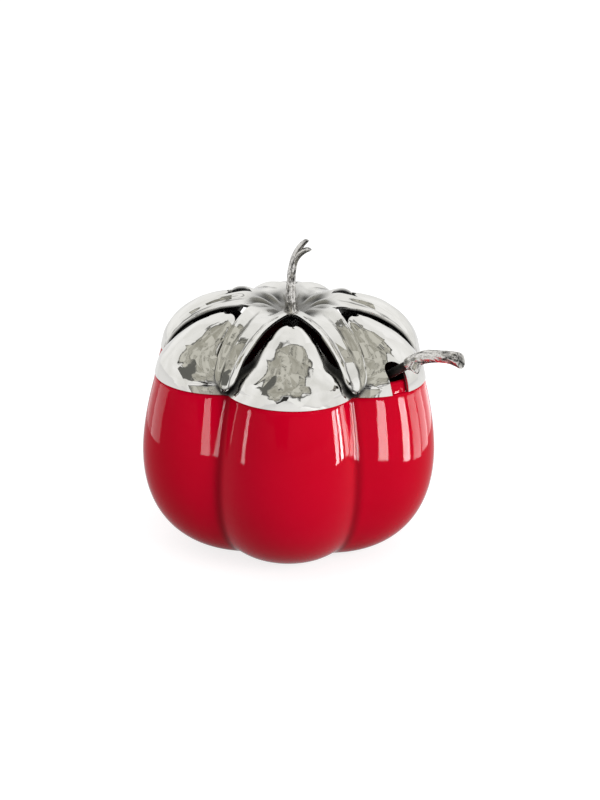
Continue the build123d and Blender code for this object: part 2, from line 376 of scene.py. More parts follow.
def bump_node(tree, source, depth, strength):
    node = tree.nodes.new("ShaderNodeBump")
    node.inputs["Distance"].default_value = depth * MM
    node.inputs["Strength"].default_value = strength
    tree.links.new(source, node.inputs["Height"])
    return node.outputs["Normal"]


# The painted shade and tarnish stored at each point
def shade_and_tarnish_node(tree):
    node = tree.nodes.new("ShaderNodeAttribute")
    node.attribute_name = "shade_and_tarnish"
    return node.outputs["Fac"]


def mirror_node(tree, path):
    """One for rays that metal or glass sends on."""
    return math_node(tree, "MAXIMUM", path.outputs["Is Glossy Ray"], path.outputs["Is Transmission Ray"])


def glaze_material():
    """Opaque red glaze, painted nearly black inside the pot as shade."""
    material, tree, shader = new_material("red_glaze")
    depth = range_node(tree, noise_node(tree, 38.0), 0.0, 1.0)
    outside = mix_node(tree, depth, RED_DEEP, RED_LIGHT)
    # The red turns nearly black with the painted shade inside the pot and darker along the grooves
    colour = mix_node(tree, shade_and_tarnish_node(tree), RED, INSIDE_SHADE_RED)
    tree.links.new(outside, colour.node.inputs["A"])
    tree.links.new(colour, shader.inputs["Base Color"])
    polish = range_node(tree, noise_node(tree, 9.0), 0.03, 0.06)
    tree.links.new(polish, shader.inputs["Roughness"])
    shader.inputs["IOR"].default_value = GLAZE_IOR
    skin = bump_node(tree, noise_node(tree, 14.0, detail=1.0), 0.05, 0.25)
    tree.links.new(skin, shader.inputs["Normal"])
    return material


def silver_material(name, bright, dark, smooth, rough, beaten, speck_size, speckle):
    """Silver plate that turns from bright to dark with the piece's painted shade and tarnish and with fine
    specks.
    """
    material, tree, shader = new_material(name)
    cloud = range_node(tree, noise_node(tree, speck_size), -speckle, speckle)
    share = math_node(tree, "ADD", shade_and_tarnish_node(tree), cloud, clamped=True)
    tree.links.new(mix_node(tree, share, bright, dark), shader.inputs["Base Color"])
    tree.links.new(range_node(tree, share, smooth, rough, 0.0, 1.0), shader.inputs["Roughness"])
    shader.inputs["Metallic"].default_value = 1.0
    waves = bump_node(tree, noise_node(tree, 3.0), beaten, 0.5)
    dents = dent_node(tree, DENT_SIZE)
    struck = bump_node(tree, dents, DENT_DEPTH, 0.5)
    tree.links.new(waves, struck.node.inputs["Normal"])
    tree.links.new(struck, shader.inputs["Normal"])
    return material


def dent_node(tree, size):
    """Shallow hammer dents that meet in sharp edges."""
    place = tree.nodes.new("ShaderNodeTexCoord")
    cells = tree.nodes.new("ShaderNodeTexVoronoi")
    cells.inputs["Scale"].default_value = 1 / (size * MM)
    tree.links.new(place.outputs["Object"], cells.inputs["Vector"])
    return math_node(tree, "POWER", cells.outputs["Distance"], 2.0)


def steel_material():
    material, tree, shader = new_material("fastener_steel")
    grain = noise_node(tree, 0.5, stretch=(1, 1, 6))
    tree.links.new(mix_node(tree, grain, STEEL_DARK, STEEL_LIGHT), shader.inputs["Base Color"])
    tree.links.new(range_node(tree, grain, 0.22, 0.4), shader.inputs["Roughness"])
    shader.inputs["Metallic"].default_value = 1.0
    return material


red_glaze = glaze_material()
polished_silver = silver_material(
    "polished_silver",
    SILVER,
    SILVER_SHADE_AND_TARNISH,
    smooth=0.05,
    rough=0.5,
    beaten=0.05,
    speck_size=5.0,
    speckle=0.05,
)
bark_silver = silver_material(
    "bark_silver",
    BARK,
    BARK_SHADE_AND_TARNISH,
    smooth=0.16,
    rough=0.6,
    beaten=0.08,
    speck_size=0.6,
    speckle=0.35,
)
fastener_steel = steel_material()


# Lobed outlines


def lobe_circle(crest, groove):
    """Centre distance and radius of the circle that one lobe's outline follows."""
    centre = (crest**2 - groove**2) / (2 * (crest - groove * cos(radians(HALF_STEP))))
    return centre, crest - centre


def lobed_ring(height, crest, groove, softness=1.0):
    """One closed ring round all lobes, which run together in soft valleys."""
    depth = (crest - groove) / BELLY_GROOVE
    rounding = VALLEY_ROUNDING * softness
    centre, radius = lobe_circle(crest, groove - VALLEY_DEEPER * softness * depth)
    crest_excess = sqrt(HALF_STEP**2 + rounding**2) - HALF_STEP
    ring = []
    for lobe in range(LOBE_COUNT):
        for sample in range(LOBE_SAMPLES):
            swing = HALF_STEP * sin(pi * (sample / LOBE_SAMPLES - 0.5))
            from_groove = HALF_STEP - abs(swing)
            rounded = sqrt(from_groove**2 + rounding**2)
            rounded -= crest_excess * (from_groove / HALF_STEP) ** 2
            bend = radians(HALF_STEP - rounded)
            reach = centre * cos(bend) + sqrt(radius**2 - (centre * sin(bend)) ** 2)
            ring.append(turned((reach, 0, height), LOBE_TURN + 2 * HALF_STEP * lobe + swing))
    return ring


def pot_groove(height):
    if height < BELLY_HEIGHT:
        return between(FOOT_GROOVE, BELLY_GROOVE, sqrt(height / BELLY_HEIGHT))
    return between(BELLY_GROOVE, RIM_GROOVE, (height - BELLY_HEIGHT) / (RIM_HEIGHT - BELLY_HEIGHT))


def pot_radius(height, bottom, inset):
    """Radius of the pot's crests, outside with no inset or inside with the wall as inset."""
    if height < BELLY_HEIGHT:
        drop = (BELLY_HEIGHT - height) / (BELLY_HEIGHT - bottom)
        swell = (1 - drop**LOWER_BULGE) ** (1 / LOWER_BULGE)
        return FOOT_RADIUS - inset + (BELLY_RADIUS - FOOT_RADIUS) * swell
    rise = (height - BELLY_HEIGHT) / (RIM_HEIGHT - BELLY_HEIGHT)
    return BELLY_RADIUS - inset - (BELLY_RADIUS - RIM_RADIUS) * rise**UPPER_BULGE


def pot_heights(bottom, top, lower_count, upper_count):
    """Heights up the pot, close together where its curve runs flat near the bottom."""
    lower = [
        bottom + (BELLY_HEIGHT - bottom) * (1 - cos(pi / 2 * step / lower_count))
        for step in range(lower_count)
    ]
    return lower + list(np.linspace(BELLY_HEIGHT, top, upper_count))


def dome_radius(height, offset=0.0):
    rise = (height - RIM_HEIGHT) / (DOME_RISE - offset)
    return DOME_FLAT + (RIM_RADIUS - DOME_FLAT - offset) * sqrt(max(0.0, 1 - rise**2))


def dome_groove(height, offset=0.0):
    share = (height - RIM_HEIGHT) / (BAND_TOP - RIM_HEIGHT)
    return dome_radius(height) - between(RIM_GROOVE, BAND_GROOVE, share) - GROOVE_SHEET_FACTOR * offset


def make_pot():
    rings = []
    for height in pot_heights(0, RIM_HEIGHT - RIM_ROUND, 40, 24):
        radius = pot_radius(height, 0, 0)
        rings.append(lobed_ring(height, radius, radius - pot_groove(height)))
    for step in range(1, 5):
        angle = pi / 2 * step / 4
        height = RIM_HEIGHT - RIM_ROUND * (1 - sin(angle))
        radius = RIM_RADIUS - RIM_ROUND * (1 - cos(angle))
        rings.append(lobed_ring(height, radius, radius - RIM_GROOVE))
    neck_top = RIM_HEIGHT + NECK_HEIGHT
    lip = (dome_radius(neck_top, NECK_DROP), dome_groove(neck_top, NECK_DROP))
    foot = (dome_radius(RIM_HEIGHT, NECK_DROP), dome_groove(RIM_HEIGHT, NECK_DROP))
    mouth = tuple(RIM_RADIUS - POT_WALL - drop - (foot[0] - lip[0]) for drop in (0, RIM_GROOVE))
    rings.append(lobed_ring(RIM_HEIGHT, *foot, NECK_SOFTNESS))
    rings.append(lobed_ring(neck_top - NECK_BEVEL, *lip, NECK_SOFTNESS))
    for step in range(1, 6):
        angle = pi * step / 6
        rise = neck_top - NECK_BEVEL * (1 - sin(angle))
        share = (1 - cos(angle)) / 2
        crest, groove = (between(lip[end], mouth[end], share) for end in (0, 1))
        rings.append(lobed_ring(rise, crest, groove, NECK_SOFTNESS))
    rings.append(lobed_ring(neck_top - NECK_BEVEL, *mouth, NECK_SOFTNESS))
    for height in reversed(pot_heights(POT_FLOOR, RIM_HEIGHT, 24, 14)):
        radius = pot_radius(height, POT_FLOOR, POT_WALL)
        rings.append(lobed_ring(height, radius, radius - pot_groove(height), INSIDE_SOFTNESS))
    columns = LOBE_COUNT * LOBE_SAMPLES
    points = [point for ring in rings for point in ring]
    faces = grid_faces(len(rings), columns, True)
    for centre_height, ring_start in ((0.0, 0), (POT_FLOOR, (len(rings) - 1) * columns)):
        points.append((0, 0, centre_height))
        for column in range(columns):
            faces.append((len(points) - 1, ring_start + column, ring_start + (column + 1) % columns))
    piece = mesh_object("pot_shell", points, faces)
    paint(piece, pot_painted_shade)
    finish_piece(piece, "pot", red_glaze, ["pot_body"], 60)


def pot_painted_shade(point, normal):
    """Painted shade: dark on the inside of the wall, the floor and the mouth, and a little along the
    grooves.
    """
    if point.z < POT_FLOOR - 0.5:
        return 0.0
    # Painted shade along the grooves
    groove = GROOVE_SHADE * smooth_step(1 - abs(off_groove(point)) / VALLEY_ROUNDING)
    outward = Vector((point.x, point.y, 0)).normalized()
    inside = smooth_step((-normal.dot(outward) - 0.1) / 0.4)
    on_floor = point.z < POT_FLOOR + 0.5 and normal.z > 0.5
    return max(inside, groove, 1.0 if on_floor else 0.0)


# Lid


def tab_width(height):
    """Half width of a tab: the whole lobe at the band, then a round arch that closes at the top."""
    full = dome_groove(min(height, BAND_TOP)) * sin(radians(HALF_STEP))
    if height <= BAND_TOP:
        return full
    arch = TAB_SHARE * full * ((TAB_TOP - height) / (TAB_TOP - BAND_TOP)) ** TAB_TAPER
    return between(full, arch, smooth_step((height - BAND_TOP) / TAB_BLEND))


def tab_depth(height):
    """How far a tab's edges lie behind its crest."""
    level = min(height, BAND_TOP)
    band_depth = dome_radius(level) - dome_groove(level) * cos(radians(HALF_STEP))
    share = smooth_step((height - BAND_TOP) / TAB_CURL)
    return between(band_depth, tab_width(height), share)


def tab_round(height):
    """Radius of the arc across a tab through its two edges and its crest."""
    depth = tab_depth(height)
    return (tab_width(height) ** 2 + depth**2) / (2 * depth)


def tab_row(height, columns, reach):
    """Points along the arc across a tab on the +X side."""
    width, depth, crest = tab_width(height), tab_depth(height), dome_radius(height)
    radius = tab_round(height)
    swing = asin(clamp(width / radius)) if depth <= width else pi - asin(width / radius)
    row = []
    for column in range(columns):
        share = 2 * column / (columns - 1) - 1
        rise = height - BAND_TOP
        further = 0.4 * smooth_step((rise - 1) / 4) + 0.6 * smooth_step((rise - 9) / 5)
        angle = swing * share * between(1.0, reach[share > 0], further)
        row.append((crest - radius + radius * cos(angle), radius * sin(angle), height))
    return row


def make_lid():
    levels = list(np.linspace(LID_BOTTOM, BAND_TOP, BAND_ROWS))
    for step in range(1, TAB_ROWS + 1):
        share = 1 - step / TAB_LAST_ROW
        levels.append(TAB_TOP - (TAB_TOP - BAND_TOP) * share ** (1 / TAB_TAPER))
    points = []
    faces = []
    for lobe in range(LOBE_COUNT):
        first = len(points)
        for height in levels:
            beaten = smooth_step((height - LID_BOTTOM - BEATEN_START) / BEATEN_FADE)
            for point in tab_row(height, TAB_COLUMNS, TAB_REACH.get(lobe, EVEN_REACH)):
                place = turned(point, LOBE_TURN + 2 * HALF_STEP * lobe)
                out = Vector((place[0] * 0.6, place[1] * 0.6, 0.5 * height)).normalized()
                points.append(tuple(Vector(place) + out * (waves(place, LID_WAVES) * beaten)))
        faces += grid_faces(len(levels), TAB_COLUMNS, False, first)
    piece = mesh_object("lid_shell", points, faces)
    thicken(piece, LID_SHEET)
    cut_slot(piece)
    paint(piece, lid_painted_shade)
    finish_piece(piece, "lid", polished_silver, ["lid_dome"], 35)


def cut_slot(piece):
    """Cuts the spoon's slot, an upside-down U, through the band."""
    top = LID_BOTTOM + SLOT_HEIGHT - SLOT_WIDTH / 2
    outline = [(side * SLOT_WIDTH / 2, LID_BOTTOM - SLOT_OVERCUT) for side in (-1, 1)]
    for step in range(SLOT_STEPS + 1):
        angle = pi * step / SLOT_STEPS
        outline.append((SLOT_WIDTH / 2 * cos(angle), top + SLOT_WIDTH / 2 * sin(angle)))
    count = len(outline)
    points = [(x, y, z) for x in (RIM_RADIUS / 2, RIM_RADIUS * 1.5) for y, z in outline]
    faces = grid_faces(2, count, True) + [tuple(range(count)), tuple(range(count, 2 * count))]
    cutter = mesh_object("slot_cutter", points, faces)
    cut = piece.modifiers.new("slot", "BOOLEAN")
    cut.operation = "DIFFERENCE"
    cut.solver = "EXACT"
    cut.object = cutter
    bake(piece)
    bpy.data.objects.remove(cutter)


def lid_painted_shade(point, normal):
    """Painted shade: the inside of the lid, its cut edges and the sides and lower corners of its tabs are
    dark.
    """
    outward = Vector((point.x, point.y, 0)).normalized()
    facing = normal.dot((outward + Vector((0, 0, 0.6))).normalized())
    lobe = round((degrees(atan2(point.y, point.x)) - LOBE_TURN) / (2 * HALF_STEP))
    ahead = Vector(turned((1, 0, 0), LOBE_TURN + 2 * HALF_STEP * lobe))
    across = ahead.cross(Vector((0, 0, 1)))
    # Painted shade on the sides of the tabs
    side = smooth_step((abs(normal.dot(across)) - 0.8) / 0.17)
    height = clamp(point.z, LID_BOTTOM, TAB_TOP - 1)
    back = dome_radius(height) - tab_round(height)
    swing = abs(degrees(atan2(point.dot(across), point.dot(ahead) - back)))
    under_leaf = TAB_REACH.get(lobe % LOBE_COUNT, EVEN_REACH)[point.dot(across) < 0] > 1
    corner_rise = LEAF_CORNER_RISE if under_leaf else CORNER_RISE
    low = smooth_step((BAND_TOP + corner_rise - height) / (CORNER_FADE * corner_rise))
    # Painted shade in the lower corners of the tabs
    corner_shade = smooth_step((swing - CORNER_SWING) / CORNER_SOFT) * low
    return max(smooth_step((0.15 - facing) / 0.5), side, corner_shade)


# Calyx


def leaf_width(share):
    """Half width of a leaf by its share from the crown to the tip, with a round tip."""
    body = np.interp(share, [0, 0.18, 0.36, 0.62, 0.86, 1], [1.38, 1.17, 1.0, 0.86, 0.72, 0.6])
    tip = (1 - clamp((share - 0.82) / 0.18) ** 2.4) ** (1 / 2.4)
    return LEAF_HALF_WIDTH * float(body) * tip


def leaf_ridge(share):
    """Place and slope of a leaf's middle line: over the hub up to share 0, then down to the tip."""
    if share < 0:
        radius = between(HUB_START, LEAF_CROWN, 1 + share)
        rise = HUB_SINK * (1 - (1 - radius / LEAF_CROWN) ** 1.7)
        return radius, HUB_HEIGHT + rise, 0.0
    turn = LEAF_END_TURN * share
    radius = LEAF_CROWN + LEAF_SPAN * sin(turn)
    height = RIM_HEIGHT + LEAF_RISE * cos(turn)
    return radius, height, atan2(LEAF_RISE * sin(turn), LEAF_SPAN * cos(turn))


def pleat(radius, swing):
    """Two pleats to each leaf round the stem, from -1 on a fold to 1 in a valley."""
    fade = smooth_step((radius - 5) / 5) * smooth_step((19 - radius) / 8)
    return fade * cos(4 * pi * swing / radians(2 * HALF_STEP))


def leaf_row(share, columns):
    """Points across a leaf on the +X side, in a shallow channel with raised edges."""
    radius, height, slope = leaf_ridge(share)
    width = leaf_width(max(share, 0))
    shared_edge = radius * tan(radians(HALF_STEP))
    reach = min(width, shared_edge)
    ridge = LEAF_RIDGE * float(np.interp(share, [0, 0.36, 0.62, 0.82, 1], [1, 1.06, 0.95, 0.65, 0.2]))
    lean = slope * smooth_step((radius - LEAF_CROWN * 1.12) / 5)
    row = []
    for column in range(columns):
        across = reach * (2 * column / (columns - 1) - 1)
        fold = smooth_step((abs(across) / max(width, 0.1) - CHANNEL + 0.12) / (1.12 - CHANNEL))
        drop = ridge * (1 - fold) + PLEAT_DEPTH * pleat(radius, atan2(across, radius))
        row.append((radius - drop * sin(lean), across, height - drop * cos(lean)))
    return row


def make_calyx():
    shares = list(np.linspace(-1, 0, 22)[:-1]) + list(np.linspace(0, 0.8, 46)[:-1])
    shares += [0.8 + 0.1998 * sin(pi / 2 * step / 22) for step in range(23)]
    points = []
    faces = []
    for leaf in range(LOBE_COUNT):
        first = len(points)
        for share in shares:
            for point in leaf_row(share, LEAF_COLUMNS):
                place = turned(point, GROOVE_TURN + 2 * HALF_STEP * leaf)
                points.append((place[0], place[1], place[2] + waves(place, LEAF_WAVES)))
        faces += grid_faces(len(shares), LEAF_COLUMNS, False, first)
    piece = mesh_object("calyx_leaves", points, faces)
    thicken(piece, LEAF_SHEET)
    paint(piece, calyx_shade_and_tarnish)
    finish_piece(piece, "lid", polished_silver, ["calyx"], 35)


def calyx_shade_and_tarnish(point, normal):
    """Painted shade underneath and in grey pleats round the stem, with two ragged dark creases along each
    leaf that are partly painted shade and partly tarnish; the very tips are darkened too.
    """
    radius = sqrt(point.x**2 + point.y**2)
    outward = Vector((point.x, point.y, 0)).normalized()
    facing = normal.dot((outward * (radius / 40) + Vector((0, 0, 1))).normalized())
    # Painted shade underneath
    under = smooth_step((0.2 - facing) / 0.5)
    swing = off_groove(point)
    turn = asin(clamp((radius - LEAF_CROWN) / LEAF_SPAN)) / LEAF_END_TURN
    across = abs(radius * sin(radians(swing))) + 0.35 * ripple(point, 3.0, 8)
    off_crease = abs(across - CHANNEL * leaf_width(min(turn, 0.85)))
    patchy = smooth_step(ripple(point, 5.0, 9) + 0.7)
    # Ragged dark creases, partly painted shade and partly tarnish
    crease = 0.9 * patchy * smooth_step((CREASE_HALF - off_crease) / 0.45) * smooth_step((radius - 15) / 4)
    folds = 0.5 + 0.5 * pleat(radius, radians(swing))
    # Painted shade round the stem, darker in the pleat valleys
    hub = between(0.4, 0.95, folds) * smooth_step((18 - radius + 3 * ripple(point, 5.0, 6)) / 8)
    tip = 0.8 * smooth_step((radius - LEAF_CROWN - LEAF_SPAN + 0.9) / 0.5)
    return max(under, hub, crease, tip)


# Twigs


def smooth_path(stations, count):
    """A curve through stations given as x, z and radius, at even steps of its length."""
    stations = np.array(stations, float)
    padded = np.vstack([2 * stations[0] - stations[1], stations, 2 * stations[-1] - stations[-2]])
    places = []
    for index in range(1, len(padded) - 2):
        a, b, c, d = padded[index - 1 : index + 3]
        for t in np.linspace(0, 1, 40, endpoint=False):
            square = 2 * a - 5 * b + 4 * c - d
            cube = 3 * b - a - 3 * c + d
            places.append(0.5 * (2 * b + (c - a) * t + square * t**2 + cube * t**3))
    places.append(stations[-1])
    places = np.array(places)
    steps = np.hypot(np.diff(places[:, 0]), np.diff(places[:, 1]))
    run = np.concatenate([[0], np.cumsum(steps)])
    wanted = np.linspace(0, run[-1], count)
    path = np.column_stack([np.interp(wanted, run, places[:, axis]) for axis in range(3)])
    return path.tolist(), wanted.tolist()


def twig(stations, count, around, bark, seed, slant=0.0):
    """A bent twig in the XZ plane with bark along it and closed ends, the last one slanted."""
    path, run = smooth_path(stations, count)
    points = []
    depths = []
    for index in range(count):
        x, z, radius = path[index]
        before, after = path[max(index - 1, 0)], path[min(index + 1, count - 1)]
        along = Vector((after[0] - before[0], 0, after[1] - before[1])).normalized()
        side = Vector((0, 1, 0))
        up = along.cross(side)
        end = slant * smooth_step((run[index] - run[-1]) / END_LENGTH + 1)
        for column in range(around):
            angle = 2 * pi * column / around + BARK_TWIST * run[index]
            ring = (BARK_ROUND * cos(angle), BARK_ROUND * sin(angle))
            finer = (BARK_FINER * ring[0], BARK_FINER * ring[1])
            coarse = ripple((*ring, run[index] * COARSE_ALONG), 1.0, seed)
            fine = ripple((*finer, run[index] * FINE_ALONG), 1.0, seed + 1)
            lump = ripple((*ring, run[index]), LUMP_SIZE, seed + 2)
            depth = bark * (BARK_COARSE * coarse + BARK_FINE * fine + BARK_LUMP * lump)
            reach = radius * (1 + depth)
            place = Vector((x, 0, z)) + reach * (cos(angle) * side + sin(angle) * up)
            points.append(tuple(place - along * (end * sin(angle))))
            depths.append(depth)
    faces = grid_faces(count, around, True)
    for end_index, start in ((0, 0), (count - 1, (count - 1) * around)):
        points.append((path[end_index][0], 0, path[end_index][1]))
        depths.append(-bark)
        for column in range(around):
            faces.append((len(points) - 1, start + column, start + (column + 1) % around))
    return points, faces, depths


def make_twig(name, body, node, points, faces, depths, bark):
    """A piece from twigs, dark in the hollows of its bark, with painted shade on its underside."""
    piece = mesh_object(name, points, faces, merged=False)
    mesh = piece.data
    shade_and_tarnish = mesh.attributes.new("shade_and_tarnish", "FLOAT", "POINT")
    for index, depth in enumerate(depths):
        # Painted shade on the underside
        under = smooth_step(-mesh.vertices[index].normal.z / 0.8)
        shade_and_tarnish.data[index].value = clamp(0.15 - depth / bark * 2.0 + 0.7 * under)
    finish_piece(piece, body, bark_silver, [node], 50)


def make_stem():
    """The stem frays into two prongs at its end."""
    main = [
        (0.0, 0.0, STEM_FOOT / STEM_RADIUS),
        (0.0, 0.06, 1.35),
        (-0.06, 0.26, 1.0),
        (-0.04, 0.5, 0.86),
        (0.14, 0.72, 0.76),
        (0.44, 0.87, 0.64),
        (0.82, 0.985, 0.46),
    ]
    prong = [(0.02, 0.58, 0.5), (0.3, 0.74, 0.62), (0.66, 0.83, 0.56), (1.0, 0.88, 0.46)]
    points, faces, depths = [], [], []
    for shape, count, seed in ((main, 220, 11), (prong, 90, 17)):
        stations = [
            (STEM_LEAN * lean, HUB_HEIGHT + STEM_HEIGHT * rise, STEM_RADIUS * radius)
            for lean, rise, radius in shape
        ]
        more_points, more_faces, more_depths = twig(
            stations, count, STEM_AROUND, STEM_BARK, seed, STEM_SLANT
        )
        first = len(points)
        points += more_points
        faces += [tuple(first + index for index in face) for face in more_faces]
        depths += more_depths
    make_twig("stem_twig", "lid", "stem", points, faces, depths, STEM_BARK)


# Spoon
SHANK_WAY = (cos(radians(SPOON_SLOPE)), sin(radians(SPOON_SLOPE)))


def spoon_start():
    """Place on the shank's middle line at the slot, from the box of the spoon's solid."""
    low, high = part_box("spoon_bowl")
    top = HANDLE_START + SOCKET_DEPTH
    return (
        high[0] / MM - top * SHANK_WAY[0] - SHANK_RADIUS * SHANK_WAY[1],
        high[2] / MM - top * SHANK_WAY[1] - SHANK_RADIUS * SHANK_WAY[0],
    )


SHANK_START = spoon_start()


def along_shank(distance, rise=0.0):
    """Place in the XZ plane at a distance along the shank's middle line and a rise square to it."""
    return (
        SHANK_START[0] + distance * SHANK_WAY[0] - rise * SHANK_WAY[1],
        SHANK_START[1] + distance * SHANK_WAY[1] + rise * SHANK_WAY[0],
    )


def make_handle():
    """The bent twig that the shank is set into, with its cut knot at the elbow."""
    elbow = along_shank(HANDLE_START + SOCKET_DEPTH)
    shape = [(0.24, 0.48, 0.97), (0.51, 0.81, 0.9), (0.78, 1.0, 0.95), (0.99, 1.0, 1.1)]
    stations = [(*along_shank(HANDLE_START), HANDLE_RADIUS * 0.96), (*elbow, HANDLE_RADIUS)]
    for length, rise, radius in shape:
        x, z = elbow[0] + HANDLE_LENGTH * length, elbow[1] + HANDLE_RISE * rise
        stations.append((x, z, HANDLE_RADIUS * radius))
    points, faces, depths = twig(stations, 220, 64, HANDLE_BARK, 23, HANDLE_SLANT)
    knot_shape = [(0, 0, 1.0), (0.15, 0.5, 0.95), (0.1, 0.85, 1.1), (0, 1, 1.0)]
    knot_stations = [(lean, KNOT_LENGTH * run, KNOT_RADIUS * radius) for lean, run, radius in knot_shape]
    knot_points, knot_faces, knot_depths = twig(knot_stations, 50, 40, HANDLE_BARK, 31)
    tilt = Matrix.Rotation(pi - radians(KNOT_TILT), 3, "X")
    first = len(points)
    points += [tuple(tilt @ Vector(point) + Vector((elbow[0], 0, elbow[1]))) for point in knot_points]
    faces += [tuple(first + index for index in face) for face in knot_faces]
    make_twig("handle_twig", "spoon", "spoon_handle", points, faces, depths + knot_depths, HANDLE_BARK)


def make_spoon():
    """The shank with a thinner tail, and the bowl as two egg-shaped skins joined at the rim."""
    bowl_middle = BOWL_TOE - SPOON_REACH
    points = []
    faces = []
    around, rings = BOWL_AROUND, BOWL_RINGS
    for trim in (0.0, BOWL_SHEET):
        first = len(points)
        for ring in range(rings + 1):
            lean = pi / 2 * ring / rings
            for column in range(around):
                angle = 2 * pi * column / around
                reach = (BOWL_HEEL if sin(angle) > 0 else BOWL_TOE) - trim
                ahead = bowl_middle + reach * sin(lean) * sin(angle)
                x, z = along_shank(ahead, -(BOWL_DEPTH - trim) * cos(lean))
                points.append((x, (BOWL_HALF_WIDTH - trim) * sin(lean) * cos(angle), z))
        faces += grid_faces(rings + 1, around, True, first)
    outer_rim = rings * around
    inner_rim = outer_rim + (rings + 1) * around
    for column in range(around):
        after = (column + 1) % around
        faces.append((outer_rim + column, outer_rim + after, inner_rim + after, inner_rim + column))
    first = len(points)
    start = bowl_middle + BOWL_HEEL - HEEL_OVERLAP
    end = HANDLE_START + SOCKET_DEPTH
    for ring in range(SHANK_RINGS):
        share = ring / (SHANK_RINGS - 1)
        radius = SHANK_RADIUS * between(0.5, 1.0, smooth_step(share * 5))
        for column in range(SHANK_AROUND):
            angle = 2 * pi * column / SHANK_AROUND
            x, z = along_shank(between(start, end, share), radius * sin(angle))
            points.append((x, radius * cos(angle), z))
    faces += grid_faces(SHANK_RINGS, SHANK_AROUND, True, first)
    for ring_start in (first, first + (SHANK_RINGS - 1) * SHANK_AROUND):
        faces.append(tuple(range(ring_start, ring_start + SHANK_AROUND)))
    piece = mesh_object("spoon_shank_bowl", points, faces)
    paint(piece, spoon_painted_shade)
    finish_piece(piece, "spoon", polished_silver, ["spoon_bowl"], 50)


def spoon_painted_shade(point, normal):
    """Painted shade: the shank is dark near the slot, where shade falls in it, and the bowl bright."""
    along = (point.x - SHANK_START[0]) * SHANK_WAY[0] + (point.z - SHANK_START[1]) * SHANK_WAY[1]
    return between(0.05, 1.0, smooth_step((along + 30) / 20))


def dress_fasteners():
    for name in ("stem_washer", "stem_nut"):
        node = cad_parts[name]
        node.data.materials.clear()
        node.data.materials.append(fastener_steel)


make_pot()
make_lid()
make_calyx()
make_stem()
make_handle()
make_spoon()
dress_fasteners()


# Floor, light and camera
FLOOR_HALF = 4000
FLOOR_MATT = (0.36, 0.36, 0.36)
AIM_HEIGHT = 45
CLOTH_GREY = (0.78, 0.78, 0.76)
WHITE = (1, 1, 1)

# What mirrors see in front: angles to the side and over the horizon, and how soft the ends of each are
RAGGED = 12
ROOM = ((-42, 28, 1.5), (22, 112, 2))
EDGE = ((-45, 31, 1.0), (19, 115, 1.5))
PERSON = ((-26, 6, 2), (3, 17, 2))
PANEL = ((-62, -36, 2), (22, 66, 2))

# Lamps: turn from the camera, distance, height, size and brightness
ROOM_LAMPS = {
    "key": (50, 900, 420, (400, 400), 9.0),
    "top": (180, 200, 900, (700, 700), 1.0),
}
POT_LAMPS = {
    "window_edge": (53.1, 66, 53, (6, 30), 115.0),
    "window": (61.1, 63.2, 53, (8, 30), 26.0),
    "window_mid": (69.5, 61.4, 54, (10.5, 28), 13.0),
    "window_side": (90, 61.5, 55, (34, 26), 3.5),
    "flank_strip": (37.5, 59.2, 54, (6, 26), 95.0),
    "flank_left": (-31, 58.3, 54, (4.5, 24), 45.0),
    "left_card": (-67.2, 61.8, 55, (14, 26), 7.0),
    "left_side": (-88, 61.5, 55, (30, 26), 1.4),
}


def make_floor():
    """A floor that looks white, keeps the object's shadow and shows grey in mirrors."""
    corners = [(x * FLOOR_HALF, y * FLOOR_HALF, 0) for x, y in ((-1, -1), (1, -1), (1, 1), (-1, 1))]
    floor = mesh_object("floor", corners, [(0, 1, 2, 3)])
    material = bpy.data.materials.new("floor")
    material.use_nodes = True
    tree = material.node_tree
    tree.nodes.clear()
    path = tree.nodes.new("ShaderNodeLightPath")
    matt = tree.nodes.new("ShaderNodeBsdfDiffuse")
    matt.inputs["Color"].default_value = (*FLOOR_MATT, 1)
    glow = tree.nodes.new("ShaderNodeEmission")
    mirrored = mirror_node(tree, path)
    by_camera = math_node(tree, "MULTIPLY", path.outputs["Is Camera Ray"], FLOOR_GLOW)
    by_mirror = math_node(tree, "MULTIPLY", mirrored, FLOOR_MIRRORED)
    both = tree.nodes.new("ShaderNodeAddShader")
    output = tree.nodes.new("ShaderNodeOutputMaterial")
    tree.links.new(math_node(tree, "ADD", by_camera, by_mirror), glow.inputs["Strength"])
    tree.links.new(matt.outputs["BSDF"], both.inputs[0])
    tree.links.new(glow.outputs["Emission"], both.inputs[1])
    tree.links.new(both.outputs["Shader"], output.inputs["Surface"])
    floor.data.materials.append(material)


def make_lamp(name, turn, distance, height, size, brightness, mirrored_by=None):
    """A lamp at a turn to the right of the camera. It lights all, or shines in one piece only."""
    lamp = bpy.data.lights.new(name, "AREA")
    lamp.shape = "RECTANGLE"
    lamp.size, lamp.size_y = size[0] * MM, size[1] * MM
    lamp.energy = brightness * pi * lamp.size * lamp.size_y
    piece = bpy.data.objects.new(name, lamp)
    angle = radians(CAMERA_AZIMUTH + turn)
    place = Vector((sin(angle) * distance, -cos(angle) * distance, height))
    piece.location = place * MM
    way = Vector((0, 0, min(height, AIM_HEIGHT))) - place
    piece.rotation_euler = way.to_track_quat("-Z", "Y").to_euler()
    piece.visible_camera = False
    piece.visible_glossy = mirrored_by is not None
    bpy.context.scene.collection.objects.link(piece)
    if mirrored_by:
        piece.visible_diffuse = False
        mirrors = bpy.data.collections.new(name + "_mirrors")
        mirrors.objects.link(bpy.data.objects[mirrored_by])
        piece.light_linking.receiver_collection = mirrors


def angle_mask(tree, angle, low, high, soft):
    """One between two angles in degrees and nothing outside them, with soft ends."""
    enter = range_node(tree, angle, 0.0, 1.0, radians(low - soft), radians(low + soft))
    leave = range_node(tree, angle, 1.0, 0.0, radians(high - soft), radians(high + soft))
    return math_node(tree, "MULTIPLY", enter, leave)


